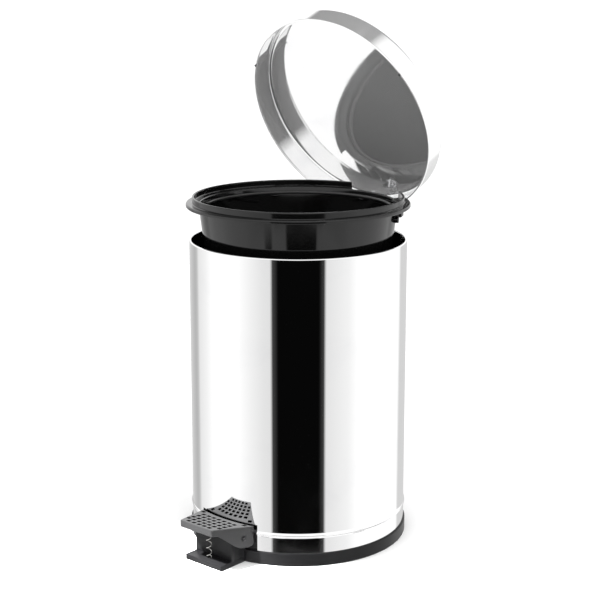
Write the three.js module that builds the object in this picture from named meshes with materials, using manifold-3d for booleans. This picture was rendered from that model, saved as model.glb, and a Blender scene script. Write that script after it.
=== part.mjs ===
// Pedal trash can, about five litres: polished steel body and lid, black plastic base,
// pedal and inner bucket. Millimetres, +Z up, pedal towards -Y, lid hinge towards +Y.
// It is modelled with the lid wide open, the pedal down and the bucket part lifted out.

import * as THREE from "three";
import { mergeVertices, toCreasedNormals } from "three/addons/utils/BufferGeometryUtils.js";
import Module from "manifold-3d";

const wasm = await Module();
wasm.setup();

// ---------------------------------------------------------------- driving dimensions
const CLEARANCE = 0.35; // between pieces that touch or run on each other
const ROUND = 48; // sides of the large turned pieces

const CAN_Y = 9.7; // the can's axis, so that the whole footprint is centred on the origin
const BODY_R = 102.5;
const BODY_WALL = 0.9;
const BODY_BOTTOM = 12.3;
const BODY_TOP = 286.5;
const BEAD = { z: 29.2, half: 2.4, proud: 1.0 };
const CUTOUT = { half: 35.4, top: 38.5 }; // opening in the body for the pedal
const REAR_SLOT = { half: 2.6, bottom: 281.5 }; // slot in the body's rim for the lid's crank

const BASE = { r: 104, ringTop: 12, spigotR: 101.2, innerR: 98.4, floor: 29, floorTop: 31 };
const FOOT = { half: 22.9, front: -132.7, thick: 5, wallFront: -118.7, wallBack: -115, top: 30 };
const EAR = { outer: 22.5, thick: 3, back: -100 };

const PIN = { y: -109.5, z: 26.6, r: 1.75, half: 29.9 }; // the pedal's pivot
const PEDAL = {
  front: -141.5,
  frontHalf: 20,
  rearHalf: 32.4,
  rearR: 104.3, // the rear edge follows the body
  rearTop: 36.4,
  rise: 5.3, // of the front edge over the rear edge
  thick: 2.6,
  lipDepth: 6.4,
  cheek: 2.4,
};
const PEDAL_TRAVEL = THREE.MathUtils.degToRad(16);

const HINGE = { y: 109.9, z: 297.4, pinR: 2, barrelR: 4.2 };
const OPEN = THREE.MathUtils.degToRad(66); // how far the lid stands open
const LID = { r: 102, hemR: 102.8, hemInner: 100.3, hem: 2, depth: 25, wall: 0.9, mouthZ: 290.4 };

const ROD = { x: 3.2, y: 98.7, r: 1.5, runZ: 25.5 };
const CRANK = { arm: HINGE.y - ROD.y, half: 3.2, slotHalf: 2.1 }; // it swings evenly about the level
const HOOK_Z = HINGE.z + CRANK.arm * Math.tan(OPEN / 2);
const ROD_TRAVEL = 2 * (HOOK_Z - HINGE.z);
const TAIL_Y = PIN.y + ROD_TRAVEL / Math.sin(PEDAL_TRAVEL); // end of the pedal's lever

const BUCKET_Z = 319; // underside of the bucket's flange, lifted 32 mm off the rim
const BUCKET_DEPTH = 253;
const BUCKET_GAP = [53, 98.5]; // gap in its flange and lip, in degrees from +X
const BUCKET_RELIEF = [53, 129]; // where its flange stops at the lip
const BAIL = { turn: 26, z: -3.4, r: 88.4, wire: 1.5, reach: 99.6 }; // ears at turn degrees from +X

const LEVER = { half: 6, thick: 2.2 };
const SPRING = { x: 0, y: -124.5, r: 2.4, wire: 0.5, turns: 5 };
const RIVET = { shank: 1.5, head: 2.8, headThick: 0.9 };
const SCREW = { circle: 62, angles: [-30, 125, 210], shank: 1.6, head: 3.4 };
const PAD = { circle: 88, angles: [40, 140, 215, 325], r: 5 };
const HEM_GAP = 68; // half-width of the gap in the hem at the back
const LID_SLOT = { left: -8.6, right: 5.4, high: 9 }; // the way of crank and hook through the skirt

// Where the small fixings stand: [x, z], and y for the lever's screws.
const bracketRivets = [[-6.5, 272], [6.5, 272]];
const guideRivets = [[-5, 90], [-5, 220]];
const leafRivets = [[-10.5, LID.mouthZ + 17], [10.5, LID.mouthZ + 17]];
const leverScrews = [-131.5, -117.5];

// ---------------------------------------------------------------- materials
const material = (color, roughness, metalness) =>
  new THREE.MeshStandardMaterial({ color, roughness, metalness });
const polishedSteel = () => material(0xe8e8ea, 0.06, 1);
const stampedSteel = () => material(0xb4b6b8, 0.3, 1);
const blackPlastic = () => material(0x161617, 0.4, 0);
const glossBlack = () => material(0x101011, 0.12, 0);
const rubber = () => material(0x2a2a2b, 0.8, 0);

// ---------------------------------------------------------------- shape helpers
// A three.js geometry as a solid that can be joined and cut.
function solid(geometry) {
  const bare = geometry.index ? geometry.toNonIndexed() : geometry.clone();
  bare.deleteAttribute("normal");
  bare.deleteAttribute("uv");
  const merged = mergeVertices(bare, 1e-4);
  return new wasm.Manifold(
    new wasm.Mesh({
      numProp: 3,
      vertProperties: merged.attributes.position.array,
      triVerts: new Uint32Array(merged.index.array),
    }),
  );
}

// A solid as a named mesh.
function piece(name, body, look) {
  const { numProp, vertProperties, triVerts } = body.getMesh();
  const position = new Float32Array((vertProperties.length / numProp) * 3);
  for (let i = 0; i < position.length / 3; i++) {
    position.set(vertProperties.subarray(i * numProp, i * numProp + 3), i * 3);
  }
  const geometry = new THREE.BufferGeometry()
    .setAttribute("position", new THREE.BufferAttribute(position, 3))
    .setIndex(new THREE.BufferAttribute(new Uint32Array(triVerts), 1));
  const mesh = new THREE.Mesh(toCreasedNormals(geometry, 0.6), look);
  mesh.name = name;
  return mesh;
}

// A closed outline of [radius, height] points turned about the Z axis.
// The outline runs anticlockwise with the axis on its left.
function turned(outline, sides = ROUND) {
  const points = outline.map(([r, z]) => new THREE.Vector2(r, z));
  if (outline[0][0] > 0) points.push(points[0].clone());
  return solid(new THREE.LatheGeometry(points, sides).rotateX(Math.PI / 2));
}

// An outline in X and Y, extruded upwards from z to z + height.
function prism(outline, height, z = 0) {
  const shape = new THREE.Shape(outline.map(([x, y]) => new THREE.Vector2(x, y)));
  const geometry = new THREE.ExtrudeGeometry(shape, { depth: height, bevelEnabled: false });
  return solid(geometry.translate(0, 0, z));
}

// An outline in Y and Z, extruded along X from x0 to x1.
function sidePrism(outline, x0, x1) {
  const shape = new THREE.Shape(outline.map(([y, z]) => new THREE.Vector2(y, z)));
  const geometry = new THREE.ExtrudeGeometry(shape, { depth: x1 - x0, bevelEnabled: false });
  geometry.rotateX(Math.PI / 2).rotateZ(Math.PI / 2);
  return solid(geometry.translate(x0, 0, 0));
}

function box([x0, y0, z0], [x1, y1, z1]) {
  const geometry = new THREE.BoxGeometry(x1 - x0, y1 - y0, z1 - z0);
  return solid(geometry.translate((x0 + x1) / 2, (y0 + y1) / 2, (z0 + z1) / 2));
}

// Cylinders along X, Y and Z, from a to b along that axis.
function rodX(r, y, z, a, b, sides = 16) {
  const geometry = new THREE.CylinderGeometry(r, r, b - a, sides).rotateZ(Math.PI / 2);
  return solid(geometry.translate((a + b) / 2, y, z));
}
function rodY(r, x, z, a, b, sides = 16) {
  return solid(new THREE.CylinderGeometry(r, r, b - a, sides).translate(x, (a + b) / 2, z));
}
function rodZ(r, x, y, a, b, sides = 16) {
  const geometry = new THREE.CylinderGeometry(r, r, b - a, sides).rotateX(Math.PI / 2);
  return solid(geometry.translate(x, y, (a + b) / 2));
}

// A path of straight runs joined by round bends, sampled only where it turns.
class BentPath extends THREE.Curve {
  constructor(corners, bend, bendSteps = 4) {
    super();
    const at = corners.map((p) => new THREE.Vector3(...p));
    this.points = [at[0]];
    for (let i = 1; i < at.length - 1; i++) {
      const before = at[i - 1].clone().sub(at[i]);
      const after = at[i + 1].clone().sub(at[i]);
      const cut = Math.min(bend, before.length() / 2.1, after.length() / 2.1);
      const arc = new THREE.QuadraticBezierCurve3(
        at[i].clone().addScaledVector(before.normalize(), cut),
        at[i],
        at[i].clone().addScaledVector(after.normalize(), cut),
      );
      this.points.push(...arc.getPoints(bendSteps));
    }
    this.points.push(at[at.length - 1]);
  }
  getPointAt(u, target = new THREE.Vector3()) {
    return target.copy(this.points[Math.round(u * (this.points.length - 1))]);
  }
  getSpacedPoints() {
    return this.points;
  }
  getTangentAt(u, target = new THREE.Vector3()) {
    const i = Math.round(u * (this.points.length - 1));
    const from = this.points[Math.max(0, i - 1)];
    const to = this.points[Math.min(this.points.length - 1, i + 1)];
    return target.copy(to).sub(from).normalize();
  }
}

function wire(corners, r, bend, bendSteps, sides = 8) {
  const path = new BentPath(corners, bend, bendSteps);
  return sweep(path, r, path.points.length - 1, sides);
}

// Round stock of radius r swept along a curve.
function sweep(path, r, steps, sides = 8) {
  const ring = new THREE.Shape();
  ring.moveTo(r, 0);
  for (let i = 1; i < sides; i++) {
    const a = (2 * Math.PI * i) / sides;
    ring.lineTo(r * Math.cos(a), r * Math.sin(a));
  }
  return solid(new THREE.ExtrudeGeometry(ring, { steps, extrudePath: path }));
}

// A shell of revolution cut down to a sector about the +Y direction, |x| < half.
function saddle(rIn, rOut, half, z0, z1) {
  const ring = turned([[rIn, z0], [rOut, z0], [rOut, z1], [rIn, z1]], 2 * ROUND);
  return ring.intersect(box([-half, 0, z0 - 1], [half, rOut + 1, z1 + 1]));
}

const can = new THREE.Group();
can.position.y = CAN_Y;
const group = new THREE.Group();
group.add(can);

// ---------------------------------------------------------------- body shell
function bodyShell() {
  const inner = BODY_R - BODY_WALL;
  const outline = [
    [inner, BODY_BOTTOM],
    [BODY_R, BODY_BOTTOM],
    [BODY_R, BEAD.z - BEAD.half],
    [BODY_R + 0.7 * BEAD.proud, BEAD.z - 0.6 * BEAD.half],
    [BODY_R + BEAD.proud, BEAD.z],
    [BODY_R + 0.7 * BEAD.proud, BEAD.z + 0.6 * BEAD.half],
    [BODY_R, BEAD.z + BEAD.half],
    [BODY_R, BODY_TOP],
    [inner - 0.9, BODY_TOP], // the rim is rolled inwards
    [inner - 0.9, BODY_TOP - 2],
    [inner, BODY_TOP - 2],
  ];
  let shell = turned(outline, ROUND);
  const { half, top } = CUTOUT;
  shell = shell.subtract(box([-half, -BODY_R - 5, 0], [half, -60, top]));
  const rear = REAR_SLOT.half;
  shell = shell.subtract(box([-rear, 60, REAR_SLOT.bottom], [rear, BODY_R + 5, BODY_TOP + 5]));
  for (const [x, z] of [...bracketRivets, ...guideRivets]) {
    shell = shell.subtract(rodY(RIVET.shank + CLEARANCE, x, z, 90, BODY_R + 5, 12));
  }
  return shell;
}

// ---------------------------------------------------------------- rivets
// A domed rivet along Y with its head outside, at y = seat.
function rivet(x, z, inside, seat) {
  const { shank, head, headThick } = RIVET;
  return rodY(shank, x, z, inside, seat + 0.2, 12).add(
    rodY(head, x, z, seat, seat + 0.5 * headThick, 12).add(
      rodY(0.65 * head, x, z, seat, seat + headThick, 12),
    ),
  );
}

// ---------------------------------------------------------------- base
function baseMoulding() {
  const { r, ringTop, spigotR, innerR, floor, floorTop } = BASE;
  let base = turned([
    [0, floor],
    [innerR, floor],
    [innerR, 2],
    [innerR + 1.4, 0],
    [r - 0.9, 0],
    [r, 0.9],
    [r, ringTop],
    [spigotR, ringTop],
    [spigotR, floorTop],
    [0, floorTop],
  ]);
  // Stiffening ribs under the floor, clear of the lever and the rod on the middle line.
  for (const side of [-1, 1]) {
    base = base.add(box([side * 34 - 1, -88, 16], [side * 34 + 1, 88, floor + 0.5]));
    for (const y of [-45, 0, 45]) {
      const x = [side * 14, side * 92].sort((a, b) => a - b);
      const reach = Math.sqrt(innerR ** 2 - y ** 2);
      const low = Math.max(x[0], -reach - 0.5);
      const high = Math.min(x[1], reach + 0.5);
      base = base.add(box([low, y - 1, 20], [high, y + 1, floor + 0.5]));
    }
  }
  // Foot plate in front, with the wall and the two ears that carry the pedal's pin.
  const { half, front, thick, wallFront, wallBack, top } = FOOT;
  const corner = 1.5;
  base = base.add(
    prism(
      [
        [-half, -98.6],
        [-half, front + corner],
        [-half + corner, front],
        [half - corner, front],
        [half, front + corner],
        [half, -98.6],
      ],
      thick,
    ),
  );
  base = base.add(box([-half, wallFront, thick - 1], [half, wallBack, top]));
  base = base.add(
    sidePrism(
      [
        [wallFront - 3, thick - 0.5],
        [wallFront + 0.5, thick - 0.5],
        [wallFront + 0.5, thick + 3],
        [wallFront - 0.6, thick + 0.6],
      ],
      -half + 0.6,
      half - 0.6,
    ),
  );
  const ear = [
    [wallBack - 0.5, thick - 1],
    [EAR.back, thick - 1],
    [EAR.back, 20],
    [PIN.y + 4.5, PIN.z + 2],
    [PIN.y + 2.5, PIN.z + 4.4],
    [PIN.y - 2.5, PIN.z + 4.4],
    [wallBack - 0.5, top],
  ];
  base = base.add(sidePrism(ear, -EAR.outer, -EAR.outer + EAR.thick));
  base = base.add(sidePrism(ear, EAR.outer - EAR.thick, EAR.outer));
  base = base.subtract(rodX(PIN.r + CLEARANCE, PIN.y, PIN.z, -40, 40));
  // The lever's way through the ring and the spigot.
  base = base.subtract(box([-10, -BASE.r - 1, thick], [10, -innerR + 2, floor - 0.2]));
  base = base.subtract(box([-10, -BASE.r - 1, floor - 1], [10, -innerR + 1.5, floorTop + 1]));
  // The rod's channel in the spigot and the ring.
  const wide = ROD.r + 2 * CLEARANCE;
  const left = ROD.x - wide;
  const right = ROD.x + wide;
  base = base.subtract(box([left, 93, ringTop], [right, spigotR + 1, floorTop + 1]));
  base = base.subtract(box([left, 93, 8], [right, spigotR - 0.1, ringTop + 1]));
  // Bosses for the three base screws, and the sockets of the rubber feet.
  for (const { x, y } of around(SCREW.circle, SCREW.angles)) {
    base = base.add(rodZ(4.2, x, y, 14, floor + 0.5));
    base = base.subtract(rodZ(SCREW.shank + CLEARANCE, x, y, 10, floorTop + 1, 12));
  }
  for (const { x, y } of around(PAD.circle, PAD.angles)) {
    base = base.add(rodZ(PAD.r + 2, x, y, 1.2, floor + 0.5));
    base = base.subtract(rodZ(PAD.r + CLEARANCE, x, y, -1, 3.4));
  }
  return base;
}

// Places on a circle at the given angles in degrees from +X.
function around(r, angles) {
  return angles.map((deg) => {
    const a = THREE.MathUtils.degToRad(deg);
    return { x: r * Math.cos(a), y: r * Math.sin(a) };
  });
}

// Base screw: pan head below, shank up through the floor into the stiffening disc.
function baseScrew({ x, y }) {
  const seat = 14 - CLEARANCE;
  return rodZ(SCREW.shank, x, y, seat - 0.3, BASE.floorTop + 1.6, 12)
    .add(rodZ(SCREW.head, x, y, seat - 1.8, seat, 12))
    .subtract(box([x - 3, y - 0.4, seat - 3], [x + 3, y + 0.4, seat - 1.1]))
    .subtract(box([x - 0.4, y - 3, seat - 3], [x + 0.4, y + 3, seat - 1.1]));
}

function rubberFoot({ x, y }) {
  return rodZ(PAD.r, x, y, 0, 3.4 - CLEARANCE);
}

// ---------------------------------------------------------------- pedal
const pedalTop = (y) =>
  PEDAL.rearTop + (PEDAL.rise * (y + 99)) / (PEDAL.front + 99);
const pedalHalf = (y) =>
  PEDAL.rearHalf + ((PEDAL.frontHalf - PEDAL.rearHalf) * (y + 99)) / (PEDAL.front + 99);

// The pedal's plan: wider at the back, rounded front corners, hollow rear edge along the body.
function pedalPlan(inset) {
  const half = (y) => pedalHalf(y) - inset;
  const front = PEDAL.front + inset;
  const right = [
    [half(front) - 3.5, front],
    [half(front) - 0.9, front + 0.9],
    [half(front + 3.5), front + 3.5],
  ];
  const rear = [];
  const rearR = PEDAL.rearR + inset;
  const corner = Math.asin((PEDAL.rearHalf - inset) / rearR);
  for (let i = 0; i <= 8; i++) {
    const a = corner - (2 * corner * i) / 8;
    rear.push([rearR * Math.sin(a), -rearR * Math.cos(a)]);
  }
  const left = right.map(([x, y]) => [-x, y]).reverse();
  return [...right, ...rear, ...left];
}

function pedalMoulding() {
  const { front, thick, lipDepth, cheek } = PEDAL;
  const slab = (top, bottom) =>
    sidePrism(
      [
        [front - 2, pedalTop(front - 2) - bottom],
        [-90, pedalTop(-90) - bottom],
        [-90, pedalTop(-90) - top],
        [front - 2, pedalTop(front - 2) - top],
      ],
      -40,
      40,
    );
  const plate = prism(pedalPlan(0), 60).intersect(slab(0, thick));
  // The skirt round the plate: a shallow lip in front that deepens into the two cheeks.
  const skirtSide = sidePrism(
    [
      [front - 2, pedalTop(front) - lipDepth + 0.2],
      [front + 6, pedalTop(front) - lipDepth],
      [front + 10, pedalTop(front) - 9.5],
      [-119, 21.5],
      [-112, 17.6],
      [-103, 17.2],
      [-99.6, 19.5],
      [-98, 23],
      [-90, 26],
      [-90, pedalTop(-90) - 1],
      [front - 2, pedalTop(front - 2) - 1],
    ],
    -40,
    40,
  );
  const ring = prism(pedalPlan(0), 60).subtract(prism(pedalPlan(cheek), 62, -1));
  const inside = PEDAL.rearHalf - cheek - 1;
  const rearCut = box([-inside, -112, 0], [inside, -80, 34]);
  let pedal = plate.add(ring.intersect(skirtSide).subtract(rearCut));
  pedal = pedal.subtract(rodX(PIN.r + CLEARANCE, PIN.y, PIN.z, -40, 40));
  for (const y of leverScrews) {
    pedal = pedal.subtract(rodZ(1.2 + CLEARANCE, 0, y, 20, pedalTop(y) - 1, 12));
  }
  return pedal;
}

// ---------------------------------------------------------------- lever under the pedal
function lever() {
  const under = (y) => pedalTop(y) - PEDAL.thick - CLEARANCE;
  const tail = ROD.runZ - ROD.r - CLEARANCE;
  const upper = [
    [-135, under(-135)],
    [-113, under(-113)],
    [-104, 30.4],
    [-97, 26.1],
    [-88, tail],
    [TAIL_Y + 3, tail],
  ];
  const lower = upper.map(([y, z]) => [y, z - LEVER.thick]);
  let bar = sidePrism([...lower, ...upper.reverse()], -LEVER.half, LEVER.half);
  // Two lugs at the tail keep the rod on the lever.
  for (const x of [ROD.x - ROD.r - 2, ROD.x + ROD.r + 0.6]) {
    bar = bar.add(box([x, TAIL_Y - 5, tail - 1], [x + 1.4, TAIL_Y + 3, tail + 3.2]));
  }
  for (const y of leverScrews) {
    bar = bar.subtract(rodZ(1.2 + CLEARANCE, 0, y, 20, 60, 12));
  }
  return bar;
}

function leverScrew(y) {
  const seat = pedalTop(y) - PEDAL.thick - LEVER.thick - 3 * CLEARANCE;
  return rodZ(1.2, 0, y, seat - 0.2, pedalTop(y) - 1.5, 12).add(
    rodZ(2.6, 0, y, seat - 1.4, seat, 12).subtract(
      box([-3, y - 0.35, seat - 2], [3, y + 0.35, seat - 0.8]),
    ),
  );
}

// ---------------------------------------------------------------- return spring
class Helix extends THREE.Curve {
  constructor(r, turns, height) {
    super();
    Object.assign(this, { r, turns, height });
  }
  getPoint(t, target = new THREE.Vector3()) {
    const a = 2 * Math.PI * this.turns * t;
    return target.set(this.r * Math.cos(a), this.r * Math.sin(a), this.height * t);
  }
}

function returnSpring() {
  const { x, y, r, wire: w, turns } = SPRING;
  const low = FOOT.thick + w + CLEARANCE;
  const high = pedalTop(y) - PEDAL.thick - LEVER.thick - 3 * CLEARANCE - w - r * 0.13;
  return sweep(new Helix(r, turns, high - low), w, 10 * turns, 5).translate([x, y, low]);
}

// ---------------------------------------------------------------- push rod
// Bent wire: along under the floor, up inside the body, hooked through the lid's crank.
function pushRod() {
  const { x, y, r, runZ } = ROD;
  return wire(
    [
      [x, TAIL_Y - 2, runZ],
      [x, y, runZ],
      [x, y, HOOK_Z],
      [x - 9, y, HOOK_Z],
    ],
    r,
    3,
    4,
    10,
  );
}

function rodGuide(z) {
  const { x, y, r } = ROD;
  const outer = rodZ(BODY_R - BODY_WALL - CLEARANCE, 0, 0, z - 5, z + 5, 96);
  return box([-9, y - r - 2.6, z - 5], [x + r + 2.4, 105, z + 5])
    .intersect(outer)
    .subtract(rodZ(r + 0.5, x, y, z - 6, z + 6, 16))
    .subtract(rodY(RIVET.shank + CLEARANCE, -5, z, 80, 110, 12));
}

// ---------------------------------------------------------------- hinge bracket on the body
function hingeBracket() {
  const inner = BODY_R + CLEARANCE;
  const { y, z, pinR } = HINGE;
  let bracket = saddle(inner, inner + 1.4, 17, 263, 285);
  const ear = [
    [inner - 0.1 + 0.4, 266],
    [inner + 1.2, 264],
    [y + 2, 283],
    [y + 4.6, z - 2],
    [y + 4, z + 2.8],
    [y + 1.6, z + 4.9],
    [y - 1.6, z + 4.9],
    [y - 4, z + 2.8],
    [y - 4.9, z - 1],
    [y - 5.4, 286],
    [inner + 0.4, 284],
  ];
  for (const x of [-14, 12]) bracket = bracket.add(sidePrism(ear, x, x + 2));
  bracket = bracket.subtract(rodX(pinR + CLEARANCE, y, z, -30, 30));
  for (const [x, rz] of bracketRivets) {
    bracket = bracket.subtract(rodY(RIVET.shank + CLEARANCE, x, rz, 90, 120, 12));
  }
  // The saddle follows the body, so nothing of the ears reaches inside its curve.
  return bracket.subtract(rodZ(inner, 0, 0, 250, BODY_TOP + 1, 96));
}

function hingePin() {
  const { y, z, pinR } = HINGE;
  return rodX(pinR, y, z, -15.6, 15.6)
    .add(rodX(pinR + 1.2, y, z, 14.4, 15.8))
    .add(rodX(pinR + 0.9, y, z, -15.8, -14.4));
}

function pedalPin() {
  const { y, z, r, half } = PIN;
  const head = half + CLEARANCE + 0.8;
  const slot = box([head - 0.3, y - 2, z - 0.3], [head + 1, y + 2, z + 0.3]);
  return rodX(r, y, z, -head, head).subtract(slot);
}

// ---------------------------------------------------------------- lid
// Lid pieces are made shut, in the can's frame, and turned open about the hinge.
const lidGroup = new THREE.Group();
lidGroup.position.set(0, HINGE.y, HINGE.z);
lidGroup.rotation.x = -OPEN;
can.add(lidGroup);

const atHinge = (body) => body.translate([0, -HINGE.y, -HINGE.z]);

function lidShell() {
  const { r, hemR, hemInner, hem, depth, wall, mouthZ } = LID;
  const inner = r - wall;
  let lid = turned(
    [
      [0, depth - wall],
      [inner - 3, depth - wall],
      [inner - 0.8, depth - wall - 0.8],
      [inner, depth - wall - 3],
      [inner, hem],
      [hemInner, hem],
      [hemInner, 0],
      [hemR, 0],
      [hemR, hem],
      [r, hem + 0.5],
      [r, depth - 3],
      [r - 0.9, depth - 0.9],
      [r - 3, depth],
      [0, depth],
    ],
    ROUND,
  ).translate([0, 0, mouthZ]);
  // The hem is not turned in at the back, where the bucket's lip passes it.
  const hemLip = turned([[hemInner - 1, -1], [inner, -1], [inner, hem], [hemInner - 1, hem]]);
  const back = box([-HEM_GAP, 50, -2], [HEM_GAP, 110, hem + 1]);
  lid = lid.subtract(hemLip.intersect(back).translate([0, 0, mouthZ]));
  // The opening in the skirt's rear that the crank and the rod's hook work through.
  const { left, right, high } = LID_SLOT;
  lid = lid.subtract(box([left, 90, mouthZ - 1], [right, 110, mouthZ + high]));
  for (const [x, z] of leafRivets) {
    lid = lid.subtract(rodY(RIVET.shank + CLEARANCE, x, z, 90, 110, 12));
  }
  return lid;
}

// Hinge leaf on the skirt, its barrel on the pin, and the slotted crank that the rod pushes.
function lidLeaf() {
  const inner = LID.r + CLEARANCE;
  const { y, z, pinR, barrelR } = HINGE;
  let leaf = saddle(inner, inner + 1.3, 15, LID.mouthZ + 5, LID.mouthZ + 21);
  leaf = leaf.add(rodX(barrelR, y, z, -11.4, 11.4));
  const web = [
    [inner + 0.5, LID.mouthZ + 5.2],
    [y - 1, z - 3.6],
    [y + 2, z + 3.4],
    [inner + 0.5, LID.mouthZ + 15],
  ];
  for (const x of [-9, 6]) leaf = leaf.add(sidePrism(web, x, x + 3));
  // The crank, drawn out from the pin at its angle when the lid is shut.
  const { arm, half, slotHalf } = CRANK;
  const reach = arm / Math.cos(OPEN / 2);
  const along = (d, off) => [
    y - d * Math.cos(OPEN / 2) + off * Math.sin(OPEN / 2),
    z - d * Math.sin(OPEN / 2) - off * Math.cos(OPEN / 2),
  ];
  const tip = (r) =>
    Array.from({ length: 7 }, (_, i) => {
      const a = Math.PI / 2 - (Math.PI * i) / 6;
      return along(reach + r * Math.cos(a), r * Math.sin(a));
    });
  const bar = [along(0, -half), along(0, half), ...tip(half)];
  leaf = leaf.add(sidePrism(bar, -1, 1));
  const near = arm - ROD.r - CLEARANCE;
  const slot = [along(near, -slotHalf), along(near, slotHalf), ...tip(slotHalf)];
  leaf = leaf.subtract(sidePrism(slot, -3, 3));
  leaf = leaf.subtract(rodX(pinR + CLEARANCE, y, z, -30, 30));
  for (const [x, rz] of leafRivets) {
    leaf = leaf.subtract(rodY(RIVET.shank + CLEARANCE, x, rz, 90, 120, 12));
  }
  return leaf;
}

// Soft pad under the hem that the lid lands on.
function lidBuffer({ x, y }) {
  const top = LID.mouthZ - CLEARANCE;
  return rodZ(1.1, x, y, top - 0.7, top, 12);
}

// ---------------------------------------------------------------- bucket
function bucket() {
  const { turn, z, reach, wire: w } = BAIL;
  const profile = [
    [0, -BUCKET_DEPTH],
    [76, -BUCKET_DEPTH],
    [78, -BUCKET_DEPTH + 2],
    [88.5, -40],
    [93.4, 0],
    [104.2, 0],
    [104.4, -1.2],
    [105.3, -1.2],
    [105.3, 1.4],
    [104.6, 2],
    [99.5, 2.2],
    [99.4, 7.4],
    [98.8, 8],
    [98, 8],
    [97.4, 7.4],
    [97, 2.4],
    [92.2, 1.4],
    [91.5, 0.5],
    [86.7, -40],
    [76.2, -BUCKET_DEPTH + 3.2],
    [75, -BUCKET_DEPTH + 2],
    [0, -BUCKET_DEPTH + 2],
  ];
  let body = turned(profile, ROUND);
  // At the back, where the hinge and the crank are, the flange and then the lip are left out.
  const outside = (r, [from, to], low) => {
    const [a, b] = around(160, [from, to]);
    const wedge = prism([[0, 0], [a.x, a.y], [b.x, b.y]], 13 - low, low);
    return wedge.subtract(turned([[0, low - 1], [r, low - 1], [r, 14], [0, 14]]));
  };
  body = body.subtract(outside(93, BUCKET_GAP, -6));
  body = body.subtract(outside(99.5, BUCKET_RELIEF, -3));
  // An ear on each side for the bail's ends, with a smaller boss under it.
  const ear = box([92, -5.5, -8.2], [reach, 5.5, 0.5]);
  const boss = rodX(3.2, 0, -11, 91, reach - 3.6, 12);
  for (const side of [turn, turn + 180]) {
    body = body.add(ear.add(boss).rotate([0, 0, side]));
  }
  // Small ledges inside the mouth that the bail lies on, at the back and at the front.
  const ledge = box([86.6, -2.5, z - w - CLEARANCE - 2.2], [91.2, 2.5, z - w - CLEARANCE]);
  for (const at of [60, 120, 240, 300]) body = body.add(ledge.rotate([0, 0, turn + at]));
  const bore = rodX(w + CLEARANCE, 0, z, -110, 110, 12);
  return body.subtract(bore.rotate([0, 0, turn]));
}

// Coated wire bail, lying back inside the bucket's mouth with its ends through the ears.
function bailWire() {
  const { r, reach, wire: w } = BAIL;
  const end = reach - 1.2;
  const corners = [[end, 0, 0], [r, 0, 0]];
  const steps = 18;
  for (let i = 1; i < steps; i++) {
    const a = (Math.PI * i) / steps;
    corners.push([r * Math.cos(a), r * Math.sin(a), 0]);
  }
  corners.push([-r, 0, 0], [-end, 0, 0]);
  return wire(corners, w, 2.5, 2);
}

// ---------------------------------------------------------------- assembly
can.add(piece("body_shell", bodyShell(), polishedSteel()));
can.add(piece("base", baseMoulding(), blackPlastic()));
around(SCREW.circle, SCREW.angles).forEach((at, i) => {
  can.add(piece(`base_screw_${i + 1}`, baseScrew(at), stampedSteel()));
});
around(PAD.circle, PAD.angles).forEach((at, i) => {
  can.add(piece(`rubber_foot_${i + 1}`, rubberFoot(at), rubber()));
});
can.add(piece("pedal", pedalMoulding(), blackPlastic()));
can.add(piece("pedal_lever", lever(), stampedSteel()));
leverScrews.forEach((y, i) => {
  can.add(piece(`lever_screw_${i + 1}`, leverScrew(y), stampedSteel()));
});
can.add(piece("pedal_pin", pedalPin(), stampedSteel()));
can.add(piece("return_spring", returnSpring(), stampedSteel()));
can.add(piece("push_rod", pushRod(), stampedSteel()));
guideRivets.forEach(([x, z], i) => {
  can.add(piece(`rod_guide_${i + 1}`, rodGuide(z), blackPlastic()));
  can.add(piece(`guide_rivet_${i + 1}`, rivet(x, z, 97, BODY_R + CLEARANCE), stampedSteel()));
});
can.add(piece("hinge_bracket", hingeBracket(), stampedSteel()));
bracketRivets.forEach(([x, z], i) => {
  const seat = BODY_R + 1.4 + 2 * CLEARANCE;
  can.add(piece(`bracket_rivet_${i + 1}`, rivet(x, z, 99.4, seat), stampedSteel()));
});
can.add(piece("hinge_pin", hingePin(), stampedSteel()));

lidGroup.add(piece("lid", atHinge(lidShell()), polishedSteel()));
lidGroup.add(piece("lid_leaf", atHinge(lidLeaf()), stampedSteel()));
leafRivets.forEach(([x, z], i) => {
  const seat = LID.r + 1.3 + 2 * CLEARANCE;
  lidGroup.add(piece(`leaf_rivet_${i + 1}`, atHinge(rivet(x, z, 99.2, seat)), stampedSteel()));
});
around(101.5, [-30, 210]).forEach((at, i) => {
  lidGroup.add(piece(`lid_buffer_${i + 1}`, atHinge(lidBuffer(at)), rubber()));
});

const bucketGroup = new THREE.Group();
bucketGroup.position.z = BUCKET_Z;
can.add(bucketGroup);
bucketGroup.add(piece("bucket", bucket(), glossBlack()));

const bailGroup = new THREE.Group();
bailGroup.position.z = BAIL.z;
bailGroup.rotation.z = THREE.MathUtils.degToRad(BAIL.turn);
bucketGroup.add(bailGroup);
bailGroup.add(piece("bail", bailWire(), blackPlastic()));

export default group;
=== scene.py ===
import math

import bmesh
import bpy
from mathutils import Matrix, Vector


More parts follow.
